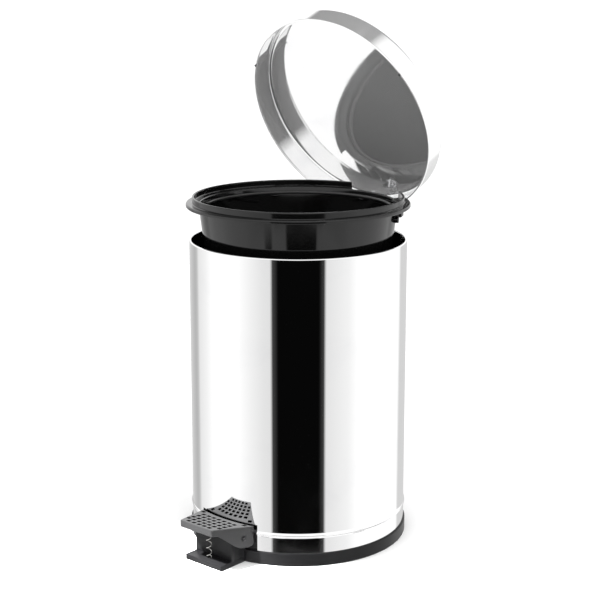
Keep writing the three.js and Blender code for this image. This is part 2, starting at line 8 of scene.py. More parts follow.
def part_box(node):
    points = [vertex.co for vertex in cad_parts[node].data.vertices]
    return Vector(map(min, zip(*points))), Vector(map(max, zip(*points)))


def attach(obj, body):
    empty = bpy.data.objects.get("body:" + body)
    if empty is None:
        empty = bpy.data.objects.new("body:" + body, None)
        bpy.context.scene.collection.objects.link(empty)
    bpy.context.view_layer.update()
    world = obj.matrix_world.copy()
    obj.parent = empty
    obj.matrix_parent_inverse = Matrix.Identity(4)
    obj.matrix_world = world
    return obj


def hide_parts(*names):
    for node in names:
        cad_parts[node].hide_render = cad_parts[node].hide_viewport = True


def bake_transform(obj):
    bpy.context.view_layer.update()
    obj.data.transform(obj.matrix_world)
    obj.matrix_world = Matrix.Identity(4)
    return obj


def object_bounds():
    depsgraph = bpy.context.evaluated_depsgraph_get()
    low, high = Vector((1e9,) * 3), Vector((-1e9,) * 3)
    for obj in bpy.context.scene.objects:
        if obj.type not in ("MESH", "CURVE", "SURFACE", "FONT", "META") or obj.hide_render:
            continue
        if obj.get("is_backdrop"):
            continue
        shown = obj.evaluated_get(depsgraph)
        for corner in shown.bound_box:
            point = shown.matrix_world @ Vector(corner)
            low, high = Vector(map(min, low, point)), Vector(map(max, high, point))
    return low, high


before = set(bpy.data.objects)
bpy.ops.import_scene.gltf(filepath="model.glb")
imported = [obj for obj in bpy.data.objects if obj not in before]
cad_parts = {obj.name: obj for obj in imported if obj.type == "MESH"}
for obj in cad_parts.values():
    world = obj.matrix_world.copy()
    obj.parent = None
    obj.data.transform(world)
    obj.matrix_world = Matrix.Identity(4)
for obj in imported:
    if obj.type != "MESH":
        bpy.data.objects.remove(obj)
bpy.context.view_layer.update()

MM = 0.001
scene = bpy.context.scene

# ---------------------------------------------------------------- studio
# A pale floor that runs out of sight, a white tent of soft light round the can, and a camera
# a little above the open lid's height, in front and to the right of the pedal.
CAN_Y = 0.0097        # the can's axis stands a little behind the middle of the footprint
CAMERA_AZIMUTH = math.radians(41)
CAMERA_DISTANCE = 1.361
CAMERA_HEIGHT = 0.545
CAMERA_PITCH = math.radians(12.02)

camera = bpy.data.objects.new("camera", bpy.data.cameras.new("camera"))
scene.collection.objects.link(camera)
camera.location = (
    CAMERA_DISTANCE * math.sin(CAMERA_AZIMUTH),
    CAN_Y - CAMERA_DISTANCE * math.cos(CAMERA_AZIMUTH),
    CAMERA_HEIGHT,
)
camera.rotation_euler = (math.pi / 2 - CAMERA_PITCH, 0, CAMERA_AZIMUTH)
camera.data.lens = 88.2
camera.data.sensor_width = 36
camera.data.shift_x = 0.003
camera.data.shift_y = -0.05
scene.camera = camera
scene.view_settings.view_transform = "Standard"


def nodes_of(material):
    """The makers of nodes and links in the material's emptied tree."""
    material.use_nodes = True
    tree = material.node_tree
    tree.nodes.clear()
    return tree.nodes.new, tree.links.new


floor_material = bpy.data.materials.new("floor_paper")
new, link = nodes_of(floor_material)
paper = new("ShaderNodeBsdfDiffuse")
paper.inputs["Color"].default_value = (0.93, 0.93, 0.93, 1)
link(paper.outputs[0], new("ShaderNodeOutputMaterial").inputs["Surface"])

bpy.ops.mesh.primitive_circle_add(vertices=96, radius=40, fill_type="NGON")
floor = bpy.context.object
floor.name = "floor"
floor.data.materials.append(floor_material)
floor.visible_glossy = False
floor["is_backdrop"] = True


def ramp(new, stops):
    """A colour ramp node with grey stops at (place, value)."""
    node = new("ShaderNodeValToRGB")
    elements = node.color_ramp.elements
    while len(elements) < len(stops):
        elements.new(0.5)
    for element, (place, value) in zip(elements, stops):
        element.position = place
        element.color = (value, value, value, 1)
    return node


def sum_of(new, link, operation, *terms):
    """A shader Math node fed by values or by other nodes' outputs."""
    node = new("ShaderNodeMath")
    node.operation = operation
    for socket, term in zip(node.inputs, terms):
        if isinstance(term, bpy.types.NodeSocket):
            link(term, socket)
        else:
            socket.default_value = term
    return node.outputs[0]


def surround(new, link, direction, panels):
    """Brightness of the tent by the angle round the can: panels are (degrees, brightness)."""
    split = new("ShaderNodeSeparateXYZ")
    link(direction, split.inputs[0])
    minus_y = sum_of(new, link, "MULTIPLY", split.outputs["Y"], -1)
    angle = sum_of(new, link, "ARCTAN2", split.outputs["X"], minus_y)
    full_turn = 2 * math.pi
    turn = sum_of(
        new, link, "MULTIPLY_ADD", angle, 1 / full_turn, 0.5 - CAMERA_AZIMUTH / full_turn
    )
    around = sum_of(new, link, "FRACT", turn)
    stops = ramp(new, [(0.5 + degrees / 360, value) for degrees, value in panels])
    link(around, stops.inputs["Fac"])
    return stops.outputs["Color"], split.outputs["Z"]


world = bpy.data.worlds.new("white_tent")
scene.world = world
new, link = nodes_of(world)
direction = new("ShaderNodeTexCoord").outputs["Generated"]
wall_panels = [
    (-180, 0.6), (-163, 0.62), (-157, 0.56), (-140, 0.44), (-134, 0.5), (-129, 0.76), (-114, 0.86),
    (-102, 1.0), (-68, 1.0), (-52, 0.86), (-37, 0.75), (-29, 0.72), (-26.8, 0.05), (-21, 0.002),
    (22, 0.002), (27, 0.05), (29, 0.74), (54, 0.86), (66, 1.0), (132, 1.0), (138, 0.62), (180, 0.6),
]
low_panels = [
    (-140, 0.95), (-133, 0.95), (-130, 0.01), (-106, 0.01), (-103, 1.0), (-42, 1.0), (-40, 0.02),
    (-33, 0.02), (-31, 1.0), (-15, 0.9), (-13.6, 0.002), (21, 0.002), (23, 0.9), (62, 1.0),
    (64, 0.01), (76, 0.01), (78, 1.0),
]
high_panels = [(-120, 0.1), (-95, 0.9), (-60, 1.0), (85, 1.0), (100, 0.8), (112, 0.12), (180, 0.1)]
wall, height = surround(new, link, direction, wall_panels)
low, _ = surround(new, link, direction, low_panels)
high, _ = surround(new, link, direction, high_panels)
level = new("ShaderNodeMapRange")
level.inputs["From Min"].default_value = -1
level.inputs["From Max"].default_value = 1
link(height, level.inputs["Value"])


def up_to(degrees):
    """The place on the level ramp of a direction so many degrees above the horizon."""
    return (1 + math.sin(math.radians(degrees))) / 2


tent_colour = None
for panels, bands in (
    (wall, [(-23.9, 0), (-23.4, 1), (-6, 1), (4, 0)]),
    (low, [(-29, 0), (-28, 1), (-24.2, 1), (-23.8, 0)]),
    (high, [(28, 0), (34, 1), (70, 1), (78, 0)]),
):
    band = ramp(new, [(0, 0)] + [(up_to(degrees), value) for degrees, value in bands])
    link(level.outputs[0], band.inputs["Fac"])
    mixed = new("ShaderNodeMixRGB")
    mixed.inputs["Color1"].default_value = (1, 1, 1, 1)
    if tent_colour:
        link(tent_colour, mixed.inputs["Color1"])
    link(band.outputs["Color"], mixed.inputs["Fac"])
    link(panels, mixed.inputs["Color2"])
    tent_colour = mixed.outputs["Color"]
glow = new("ShaderNodeBackground")
link(tent_colour, glow.inputs["Color"])
glow.inputs["Strength"].default_value = 1.12
link(glow.outputs[0], new("ShaderNodeOutputWorld").inputs["Surface"])

def studio_lamp(kind, name, power, azimuth, elevation, target, distance):
    """A lamp hidden from reflections, aimed at the target from so far away."""
    lamp = bpy.data.objects.new(name, bpy.data.lights.new(name, kind))
    scene.collection.objects.link(lamp)
    lamp.data.energy = power
    away = Matrix.Rotation(math.radians(azimuth), 3, "Z") @ Vector(
        (0, -math.cos(math.radians(elevation)), math.sin(math.radians(elevation)))
    )
    lamp.location = target + distance * away
    lamp.rotation_euler = away.to_track_quat("Z", "Y").to_euler()
    lamp.visible_glossy = False
    return lamp.data


can_middle = Vector((0, CAN_Y, 0.2))
for name, azimuth, elevation, size, watts in (
    ("key_lamp", 75, 48, 0.9, 6),
    ("fill_lamp", -60, 40, 1.2, 4),
):
    panel = studio_lamp("AREA", name, watts, azimuth, elevation, can_middle, 1.8)
    panel.shape = "DISK"
    panel.size = size

sky = bpy.data.objects.new("soft_sky", bpy.data.lights.new("soft_sky", "SUN"))
scene.collection.objects.link(sky)
sky.data.energy = 1.3
sky.data.angle = math.radians(120)
sky.visible_glossy = False

pedal_low, pedal_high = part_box("pedal")
snoot = studio_lamp("SPOT", "pedal_lamp", 1300, -30, 58, (pedal_low + pedal_high) / 2, 1.6)
snoot.spot_size = math.radians(4.4)
snoot.spot_blend = 0.35
snoot.shadow_soft_size = 0.05

# ---------------------------------------------------------------- base moulding
# The black base ring, floor and foot plate are one injection moulding in tough plastic with a
# fine spark-eroded grain. The steel body is pushed over the ring's spigot.


def value_group(name, inputs, outputs):
    """A shader node group with float inputs {name: default} and outputs {name: socket type}."""
    group = bpy.data.node_groups.new(name, "ShaderNodeTree")
    group.interface.new_socket("Vector", in_out="INPUT", socket_type="NodeSocketVector")
    for key, default in inputs.items():
        socket = group.interface.new_socket(key, in_out="INPUT", socket_type="NodeSocketFloat")
        socket.default_value = default
    for key, kind in outputs.items():
        group.interface.new_socket(key, in_out="OUTPUT", socket_type=kind)
    made = group.nodes.new
    return group, made, group.links.new, made("NodeGroupInput"), made("NodeGroupOutput")


def noise(new, link, vector, scale, detail):
    node = new("ShaderNodeTexNoise")
    node.inputs["Scale"].default_value = scale
    node.inputs["Detail"].default_value = detail
    link(vector, node.inputs["Vector"])
    return node


def spread(new, link, value, low, high, from_low=0.3, from_high=0.7):
    """A value in from_low..from_high brought to low..high."""
    node = new("ShaderNodeMapRange")
    node.inputs["From Min"].default_value = from_low
    node.inputs["From Max"].default_value = from_high
    node.inputs["To Min"].default_value = low
    node.inputs["To Max"].default_value = high
    link(value, node.inputs["Value"])
    return node.outputs["Result"]


# Moulded grain: a fine pebbled height, and a slow drift of tone where the plastic flowed.
grain_group, made, wire, group_in, group_out = value_group(
    "moulded_grain",
    {"Grains per metre": 2600.0},
    {"Height": "NodeSocketFloat", "Drift": "NodeSocketFloat"},
)
pebbles = made("ShaderNodeTexVoronoi")
pebbles.feature = "SMOOTH_F1"
wire(group_in.outputs["Vector"], pebbles.inputs["Vector"])
wire(group_in.outputs["Grains per metre"], pebbles.inputs["Scale"])
flow = noise(made, wire, group_in.outputs["Vector"], 14.0, 2.0)
wire(pebbles.outputs["Distance"], group_out.inputs["Height"])
wire(flow.outputs["Fac"], group_out.inputs["Drift"])

# Dust and handling: a soft blotchy mask for finger grease and dry dust.
handling_group, made, wire, group_in, group_out = value_group(
    "handling_marks",
    {"Size": 30.0, "Amount": 1.0},
    {"Mask": "NodeSocketFloat"},
)
cloud = made("ShaderNodeTexNoise")
cloud.inputs["Detail"].default_value = 5
cloud.inputs["Distortion"].default_value = 0.6
wire(group_in.outputs["Vector"], cloud.inputs["Vector"])
wire(group_in.outputs["Size"], cloud.inputs["Scale"])
thin = spread(made, wire, cloud.outputs["Fac"], 0.0, 1.0, 0.5, 0.72)
amount = sum_of(made, wire, "MULTIPLY", thin, group_in.outputs["Amount"])
wire(amount, group_out.inputs["Mask"])


def use_group(new, link, group, **values):
    """A group placed in a material on Object coordinates."""
    node = new("ShaderNodeGroup")
    node.node_tree = group
    link(new("ShaderNodeTexCoord").outputs["Object"], node.inputs["Vector"])
    for key, value in values.items():
        node.inputs[key.replace("_", " ")].default_value = value
    return node


def tones(new, link, mask, first, second):
    """Two colours mixed by a mask."""
    node = new("ShaderNodeMixRGB")
    node.inputs["Color1"].default_value = (*first, 1)
    node.inputs["Color2"].default_value = (*second, 1)
    link(mask, node.inputs["Fac"])
    return node.outputs["Color"]


def bump(new, link, height, distance, strength):
    node = new("ShaderNodeBump")
    node.inputs["Strength"].default_value = strength
    node.inputs["Distance"].default_value = distance
    link(height, node.inputs["Height"])
    return node.outputs["Normal"]


def finished(new, link, colour, roughness, normal, **fixed):
    """The Principled shader and the output, with a colour, a roughness and a normal."""
    shader = new("ShaderNodeBsdfPrincipled")
    link(colour, shader.inputs["Base Color"])
    link(roughness, shader.inputs["Roughness"])
    link(normal, shader.inputs["Normal"])
    for key, value in fixed.items():
        shader.inputs[key.replace("_", " ")].default_value = value
    link(shader.outputs[0], new("ShaderNodeOutputMaterial").inputs["Surface"])


def plastic(name, shades, wear, surface, marks, relief, **fixed):
    """Moulded plastic. shades are its dark and light, wear its clean and handled roughness;
    surface is a height group and its values, marks the size and amount of handling, relief the
    distance and strength of the bump."""
    material = bpy.data.materials.new(name)
    new, link = nodes_of(material)
    group, values = surface
    grained = use_group(new, link, group, **values)
    handled = use_group(new, link, handling_group, Size=marks[0], Amount=marks[1])
    colour = tones(new, link, spread(new, link, grained.outputs["Drift"], 0, 1), *shades)
    roughness = spread(new, link, handled.outputs["Mask"], *wear, 0, 1)
    normal = bump(new, link, grained.outputs["Height"], *relief)
    finished(new, link, colour, roughness, normal, **fixed)
    return material


def moulded_plastic(name, dark, light, smooth, rough, grain, gloss=0.5):
    """Injection-moulded plastic with a pebbled grain."""
    return plastic(
        name, (dark, light), (smooth, rough), (grain_group, {"Grains_per_metre": grain}),
        (38.0, 0.7), (0.00005, 0.5), Specular_IOR_Level=gloss,
    )


black_plastic = moulded_plastic(
    "black_moulded_plastic", (0.006, 0.006, 0.0065), (0.011, 0.011, 0.0115), 0.3, 0.46, 2600.0, 0.15
)


def arc(r, z, radius, start, end, steps):
    """Points [radius, height] on a round edge, angles in degrees from the outward direction."""
    turns = [math.radians(start + (end - start) * i / steps) for i in range(steps + 1)]
    return [(r + radius * math.cos(a), z + radius * math.sin(a)) for a in turns]


def turned(name, outline, steps=240, centre=(0.0, CAN_Y)):
    """A closed outline of (radius, height) in mm, turned about the upright axis at centre.
    Long runs get a ring near each end, so that a flat wall stays flat beside a rounded edge."""
    held = []
    closing = [] if outline[-1][0] < 1e-6 else [outline[0]]
    for here, there in zip(outline, outline[1:] + closing):
        held.append(here)
        run = math.dist(here, there)
        if run > 2.5:
            for share in (0.4 / run, 1 - 0.4 / run):
                held.append(tuple(a + (b - a) * share for a, b in zip(here, there)))
    held.extend([outline[-1]] if outline[-1][0] < 1e-6 else [])
    mesh = bmesh.new()
    rings = []
    for radius, height in held:
        if radius < 1e-6:
            rings.append([mesh.verts.new((centre[0], centre[1], height * MM))])
            continue
        ring = []
        for i in range(steps):
            a = 2 * math.pi * i / steps
            x = centre[0] + radius * MM * math.cos(a)
            y = centre[1] + radius * MM * math.sin(a)
            ring.append(mesh.verts.new((x, y, height * MM)))
        rings.append(ring)
    pairs = list(zip(rings, rings[1:]))
    if len(rings[0]) > 1:
        pairs.append((rings[-1], rings[0]))
    for low, high in pairs:
        for i in range(steps):
            j = (i + 1) % steps
            round_face = ((low, i), (low, j), (high, j), (high, i))
            corners = list(dict.fromkeys(ring[k % len(ring)] for ring, k in round_face))
            if len(corners) > 2:
                mesh.faces.new(corners)
    bmesh.ops.recalc_face_normals(mesh, faces=mesh.faces)
    return mesh_object(name, mesh)


def mesh_object(name, mesh):
    data = bpy.data.meshes.new(name)
    mesh.to_mesh(data)
    mesh.free()
    made = bpy.data.objects.new(name, data)
    scene.collection.objects.link(made)
    return made


def slab(name, outline, low, high, axis="Z", edge=0.5, steps=2):
    """A flat outline in mm pushed from low to high along an axis, with its edges rounded.
    The outline is (x, y) for Z and (y, z) for X, with y counted from the can's axis."""
    mesh = bmesh.new()
    for level in (low, high):
        for a, b in outline:
            place = (a, b, level) if axis == "Z" else (level, a, b)
            mesh.verts.new((place[0] * MM, place[1] * MM + CAN_Y, place[2] * MM))
    mesh.verts.ensure_lookup_table()
    n = len(outline)
    mesh.faces.new(mesh.verts[:n])
    mesh.faces.new(mesh.verts[n:])
    for i in range(n):
        j = (i + 1) % n
        mesh.faces.new([mesh.verts[i], mesh.verts[j], mesh.verts[n + j], mesh.verts[n + i]])
    bmesh.ops.recalc_face_normals(mesh, faces=mesh.faces)
    if edge:
        sharp = [e for e in mesh.edges if e.calc_face_angle(0) > math.radians(25)]
        bmesh.ops.bevel(
            mesh, geom=sharp, offset=edge * MM, segments=steps, affect="EDGES", profile=0.5,
            clamp_overlap=True,
        )
    return mesh_object(name, mesh)


def block(name, low, high, edge=0.5):
    """A box in mm from corner to corner, y counted from the can's axis."""
    x0, y0, z0 = low
    x1, y1, z1 = high
    return slab(name, [(x0, y0), (x1, y0), (x1, y1), (x0, y1)], z0, z1, edge=edge)


def bar(name, radius, start, end, sides=48, edge=0.0):
    """A round bar in mm between two points, y counted from the can's axis."""
    a, b = Vector(start), Vector(end)
    mesh = bmesh.new()
    bmesh.ops.create_cone(
        mesh, cap_ends=True, segments=sides, radius1=radius, radius2=radius, depth=(b - a).length
    )
    if edge:
        rims = [e for e in mesh.edges if e.calc_face_angle(0) > 1]
        bmesh.ops.bevel(mesh, geom=rims, offset=edge, segments=3, affect="EDGES", profile=0.5)
    turn = (b - a).to_track_quat("Z", "Y").to_matrix().to_4x4()
    place = Matrix.Translation((a + b) / 2 * MM + Vector((0, CAN_Y, 0)))
    mesh.transform(place @ turn @ Matrix.Scale(MM, 4))
    return mesh_object(name, mesh)


def cut(target, tools, operation="DIFFERENCE", material_mode="INDEX"):
    """Joins tools to the target or cuts them from it, and removes the tools."""
    for tool in tools:
        boolean = target.modifiers.new("cut", "BOOLEAN")
        boolean.operation = operation
        boolean.solver = "EXACT"
        boolean.material_mode = material_mode
        boolean.object = tool
        settle(target)
        bpy.data.objects.remove(tool)
    return target


def settle(target):
    """The target's modifiers become plain mesh."""
    graph = bpy.context.evaluated_depsgraph_get()
    solid = bpy.data.meshes.new_from_object(target.evaluated_get(graph))
    target.modifiers.clear()
    target.data = solid
    return target


def finish_piece(piece, body, material, stands_for, angle=32):
    """Smooth shading up to an angle, the material, and the piece's place in the frame."""
    if material:
        piece.data.materials.clear()
        piece.data.materials.append(material)
        for face in piece.data.polygons:
            face.material_index = 0
    piece.data.shade_smooth()
    piece.data.set_sharp_from_angle(angle=math.radians(angle))
    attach(piece, body)
    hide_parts(*stands_for)
    return piece


RING_R = 104.0
RING_TOP = 12.0
SPIGOT_R = 101.2
RING_INNER = 98.4
FLOOR_LOW, FLOOR_TOP = 29.0, 31.0
PIN_Y, PIN_Z, PIN_R = -109.5, 26.6, 1.75
FOOT_HALF, FOOT_FRONT, FOOT_THICK = 22.9, -132.7, 5.0
FOOT_WALL = (-118.7, -115.0)
EAR_OUTER, EAR_THICK, EAR_BACK = 22.5, 3.0, -100.0
ROD_X, ROD_R = 3.2, 1.5
FOOT_R = 5.0
PLAY = 0.35           # room round a piece that turns or is pushed in

base = turned(
    "base",
    [(0, FLOOR_LOW), (RING_INNER, FLOOR_LOW), (RING_INNER, 1.2)]
    + arc(RING_INNER + 1.2, 1.2, 1.2, 180, 270, 3)
    + arc(RING_R - 1.2, 1.2, 1.2, 270, 360, 5)
    + arc(RING_R - 0.5, RING_TOP - 0.5, 0.5, 0, 90, 3)
    + [(SPIGOT_R, RING_TOP), (SPIGOT_R, FLOOR_TOP), (0, FLOOR_TOP)],
)
ear_side = [
    (FOOT_WALL[1] - 0.5, FOOT_THICK - 1),
    (EAR_BACK, FOOT_THICK - 1),
    (EAR_BACK, 20),
    (PIN_Y + 4.5, PIN_Z + 2),
    (PIN_Y + 2.5, PIN_Z + 4.4),
    (PIN_Y - 2.5, PIN_Z + 4.4),
    (FOOT_WALL[1] - 0.5, 30),
]
front_pieces = [
    slab(
        "foot_plate",
        [
            (-FOOT_HALF, -98.6), (-FOOT_HALF, FOOT_FRONT + 0.6), (-FOOT_HALF + 0.6, FOOT_FRONT),
            (FOOT_HALF - 0.6, FOOT_FRONT), (FOOT_HALF, FOOT_FRONT + 0.6), (FOOT_HALF, -98.6),
        ],
        0, FOOT_THICK, edge=0.6, steps=3,
    ),
    block("foot_wall", (-FOOT_HALF, FOOT_WALL[0], 4), (FOOT_HALF, FOOT_WALL[1], 30), edge=0.6),
    slab("ear_left", ear_side, -EAR_OUTER, -EAR_OUTER + EAR_THICK, "X", 0.4),
    slab("ear_right", ear_side, EAR_OUTER - EAR_THICK, EAR_OUTER, "X", 0.4),
]
RIB_HALF = 1.0
INTO_FLOOR = FLOOR_LOW + 0.5     # ribs and bosses end inside the floor
under_ribs = []
for side in (-1, 1):
    under_ribs.append(
        block("rib", (side * 34 - RIB_HALF, -88, 16), (side * 34 + RIB_HALF, 88, INTO_FLOOR), 0)
    )
    for y in (-45, 0, 45):
        reach = min(92.0, math.sqrt(RING_INNER**2 - y**2) + 0.5)
        start, end = sorted((side * 14.0, side * reach))
        low, high = (start, y - RIB_HALF, 20), (end, y + RIB_HALF, INTO_FLOOR)
        under_ribs.append(block("rib", low, high, 0))
cut(base, front_pieces + under_ribs, "UNION")


def on_circle(radius, angles):
    turns = [math.radians(angle) for angle in angles]
    return [(radius * math.cos(a), radius * math.sin(a)) for a in turns]


SCREW_SPOTS = on_circle(62, (-30, 125, 210))
FOOT_SPOTS = on_circle(88, (40, 140, 215, 325))
bosses = [bar("boss", 4.2, (x, y, 14), (x, y, INTO_FLOOR)) for x, y in SCREW_SPOTS]
bosses += [bar("boss", 7, (x, y, 1.2), (x, y, INTO_FLOOR)) for x, y in FOOT_SPOTS]
cut(base, bosses, "UNION")
ways = [bar("way", 1.6 + PLAY, (x, y, 10), (x, y, 32)) for x, y in SCREW_SPOTS]
ways += [bar("way", FOOT_R + PLAY, (x, y, -1), (x, y, 3.4)) for x, y in FOOT_SPOTS]
ways += [
    bar("pin_way", PIN_R + PLAY, (-40, PIN_Y, PIN_Z), (40, PIN_Y, PIN_Z)),
    block("lever_way", (-10, -106, FOOT_THICK), (10, -96.4, 28.8), 0),
    block("lever_way", (-10, -106, 28), (10, -96.9, 32), 0),
    block("rod_way", (ROD_X - 2.2, 93, 12.2), (ROD_X + 2.2, 103, 32), 0),
    block("rod_way", (ROD_X - 2.2, 93, 8), (ROD_X + 2.2, 101, 13), 0),
]
cut(base, ways)
finish_piece(base, "can", black_plastic, ["base"])

# Rubber feet pressed into sockets under the base, soft black rubber with a matt skin.
rubber = moulded_plastic(
    "soft_rubber", (0.018, 0.018, 0.018), (0.034, 0.033, 0.032), 0.72, 0.86, 4200.0
)
for i, (x, y) in enumerate(FOOT_SPOTS):
    foot = bar(f"rubber_foot_{i + 1}", FOOT_R, (x, y, 0), (x, y, 3.05), edge=0.5)
    finish_piece(foot, "can", rubber, [f"rubber_foot_{i + 1}"])

# ---------------------------------------------------------------- steel body
# The body is one sheet of stainless steel, rolled to a tube, beaded near the bottom, rolled
# over at the rim and polished to a mirror. Its front is cut away for the pedal.

# Polish: very fine rings left by the polishing wheel, and faint cloudy marks.
polish_group, made, wire, group_in, group_out = value_group(
    "polishing_marks",
    {"Rings per metre": 900.0},
    {"Rings": "NodeSocketFloat"},
)
squeeze = made("ShaderNodeMapping")
squeeze.inputs["Scale"].default_value = (0.02, 0.02, 1.0)
wire(group_in.outputs["Vector"], squeeze.inputs["Vector"])
rings = made("ShaderNodeTexNoise")
rings.inputs["Detail"].default_value = 4
wire(squeeze.outputs[0], rings.inputs["Vector"])
wire(group_in.outputs["Rings per metre"], rings.inputs["Scale"])
wire(rings.outputs["Fac"], group_out.inputs["Rings"])


def polished_metal(name, colour, shade, smooth, rough, rings_per_metre, depth, metallic=1.0):
    """Polished or brushed metal: fine rings, and a little haze where it has been handled."""
    material = bpy.data.materials.new(name)
    new, link = nodes_of(material)
    ringed = use_group(new, link, polish_group, Rings_per_metre=rings_per_metre)
    handled = use_group(new, link, handling_group, Size=22.0, Amount=1.0)
    tone = tones(new, link, handled.outputs["Mask"], colour, shade)
    roughness = spread(new, link, handled.outputs["Mask"], smooth, rough, 0, 1)
    normal = bump(new, link, ringed.outputs["Rings"], depth, 0.25)
    finished(new, link, tone, roughness, normal, Metallic=metallic)
    return material


mirror_steel = polished_metal(
    "mirror_polished_steel", (0.93, 0.93, 0.93), (0.90, 0.90, 0.905), 0.03, 0.06, 900.0, 0.000002
)
BODY_R, SHEET = 102.5, 0.5
BODY_LOW, BODY_TOP = 12.3, 286.5
BEAD_Z, BEAD_HALF, BEAD_PROUD = 29.2, 2.4, 1.0
ROLL = 1.05

bead = [
    (
        BODY_R + BEAD_PROUD * 0.5 * (1 + math.cos(math.pi * t / 8)),
        BEAD_Z + BEAD_HALF * t / 8,
    )
    for t in range(-8, 9)
]
body = turned(
    "body_shell",
    [(BODY_R - SHEET, BODY_LOW), (BODY_R, BODY_LOW)]
    + bead
    + arc(BODY_R - ROLL, BODY_TOP - ROLL, ROLL, 0, 250, 12)
    + [(BODY_R - SHEET, BODY_TOP - 2 * ROLL - 0.4), (BODY_R - SHEET, BEAD_Z + BEAD_HALF)]
    + [(r - SHEET, z) for r, z in reversed(bead[1:-1])]
    + [(BODY_R - SHEET, BEAD_Z - BEAD_HALF)],
    steps=288,
)
opening_half, opening_top = 34.4, 37.0
pedal_opening = block(
    "pedal_opening", (-opening_half, -112, 0), (opening_half, -60, opening_top), 0
)
rear_slot = block("rear_slot", (-2.6, 60, 281.5), (2.6, 110, 290), 0)
cut(body, [pedal_opening, rear_slot])
finish_piece(body, "can", mirror_steel, ["body_shell"])

# ---------------------------------------------------------------- pedal
# The pedal is a second moulding in the base's black plastic, coloured here paler and glossier than
# the base as painted light: a sloping plate with a deep
#  cheek on each side for the pin, and a waffle of ribs on top against slipping.
PEDAL_FRONT, PEDAL_FRONT_HALF = -141.5, 20.0
PEDAL_REAR_HALF, PEDAL_REAR_R = 32.4, 104.3
PEDAL_RISE, PEDAL_REAR_TOP = 5.3, 36.35
PLATE, CHEEK = 2.9, 2.4
REAR_Y = -99.0
cheek_edge = [
    (-143.5, 35.3), (-135.5, 34.4), (-131.5, 31.6), (-119, 21.5), (-115, 18.9), (-112, 17.6),
    (-107, 17.2), (-102, 17.3), (-100.6, 17.8), (-99.8, 18.8), (-99.3, 20.2), (-98, 23), (-90, 26),
]


def plate_top(y):
    """Height of the sloping plate's top at y."""
    return PEDAL_REAR_TOP + PEDAL_RISE * (y - REAR_Y) / (PEDAL_FRONT - REAR_Y)


def plate_half(y):
    """Half the plate's width at y."""
    share = (y - REAR_Y) / (PEDAL_FRONT - REAR_Y)
    return PEDAL_REAR_HALF + (PEDAL_FRONT_HALF - PEDAL_REAR_HALF) * share


def skirt_low(y):
    """Height of the cheek's lower edge at y."""
    for (y0, z0), (y1, z1) in zip(cheek_edge, cheek_edge[1:]):
        if y0 <= y <= y1:
            return z0 + (z1 - z0) * (y - y0) / (y1 - y0)
    return cheek_edge[-1][1]


def pedal_outline():
    """Points (x, y, is rear) round the pedal, anticlockwise from the rear right corner."""
    corner = math.asin(PEDAL_REAR_HALF / PEDAL_REAR_R)
    rear = [corner * (1 - 2 * i / 32) for i in range(33)]
    points = [(PEDAL_REAR_R * math.sin(a), -PEDAL_REAR_R * math.cos(a), True) for a in rear]
    left = []
    radius = 1.8
    start_y = PEDAL_REAR_R * -math.cos(corner) - 0.15
    end_y = PEDAL_FRONT + radius
    for i in range(37):
        y = start_y + (end_y - start_y) * i / 36
        left.append((-plate_half(y), y, False))
    centre = -plate_half(end_y) + radius
    for i in range(1, 8):
        a = math.radians(180 + 90 * i / 8)
        left.append((centre + radius * math.cos(a), end_y + radius * math.sin(a), False))
    left.append((centre, PEDAL_FRONT, False))
    points += left
    points += [(centre * i / 10, PEDAL_FRONT, False) for i in range(9, 0, -1)]
    points += [(-x, y, rear) for x, y, rear in reversed(points[33:])]
    return points


def pedal_mesh():
    """The plate and its skirt as one closed shell, hollow below, its upper edge rounded."""
    mesh = bmesh.new()
    outline = pedal_outline()
    count = len(outline)
    inward = []
    for i in range(count):
        x0, y0, _ = outline[i - 1]
        x1, y1, _ = outline[(i + 1) % count]
        along = Vector((x1 - x0, y1 - y0)).normalized()
        inward.append(Vector((-along.y, along.x)))
    rounding = 0.8
    turns = [math.radians(90 * i / 5) for i in range(6)]
    levels = [(0.35, lambda t, b: b), (0.0, lambda t, b: b + 0.35)]
    for a in turns:
        inset = rounding * (1 - math.cos(a))
        drop = rounding * (1 - math.sin(a))
        levels.append((inset, lambda t, b, drop=drop: t - drop))
    inner = [
        (CHEEK, lambda t, b: t - PLATE),
        (CHEEK, lambda t, b: b + 0.2),
        (CHEEK - 0.3, lambda t, b: b),
    ]
    rings = []
    for inset, height in levels + inner:
        ring = []
        for (x, y, rear), inside in zip(outline, inward):
            top = plate_top(y)
            bottom = top - PLATE - 0.7 if rear else min(skirt_low(y), top - PLATE - 0.7)
            px, py = x + inside.x * inset, y + inside.y * inset
            ring.append(mesh.verts.new((px * MM, py * MM + CAN_Y, height(top, bottom) * MM)))
        rings.append(ring)
    for low, high in list(zip(rings, rings[1:])) + [(rings[-1], rings[0])]:
        if low is rings[len(levels) - 1]:
            continue
        for i in range(count):
            j = (i + 1) % count
            mesh.faces.new([low[i], low[j], high[j], high[i]])
    mesh.faces.new(rings[len(levels) - 1])
    mesh.faces.new(rings[len(levels)])
    bmesh.ops.triangulate(mesh, faces=[f for f in mesh.faces if len(f.verts) > 4])
    bmesh.ops.recalc_face_normals(mesh, faces=mesh.faces)
    return mesh


pedal = mesh_object("pedal", pedal_mesh())


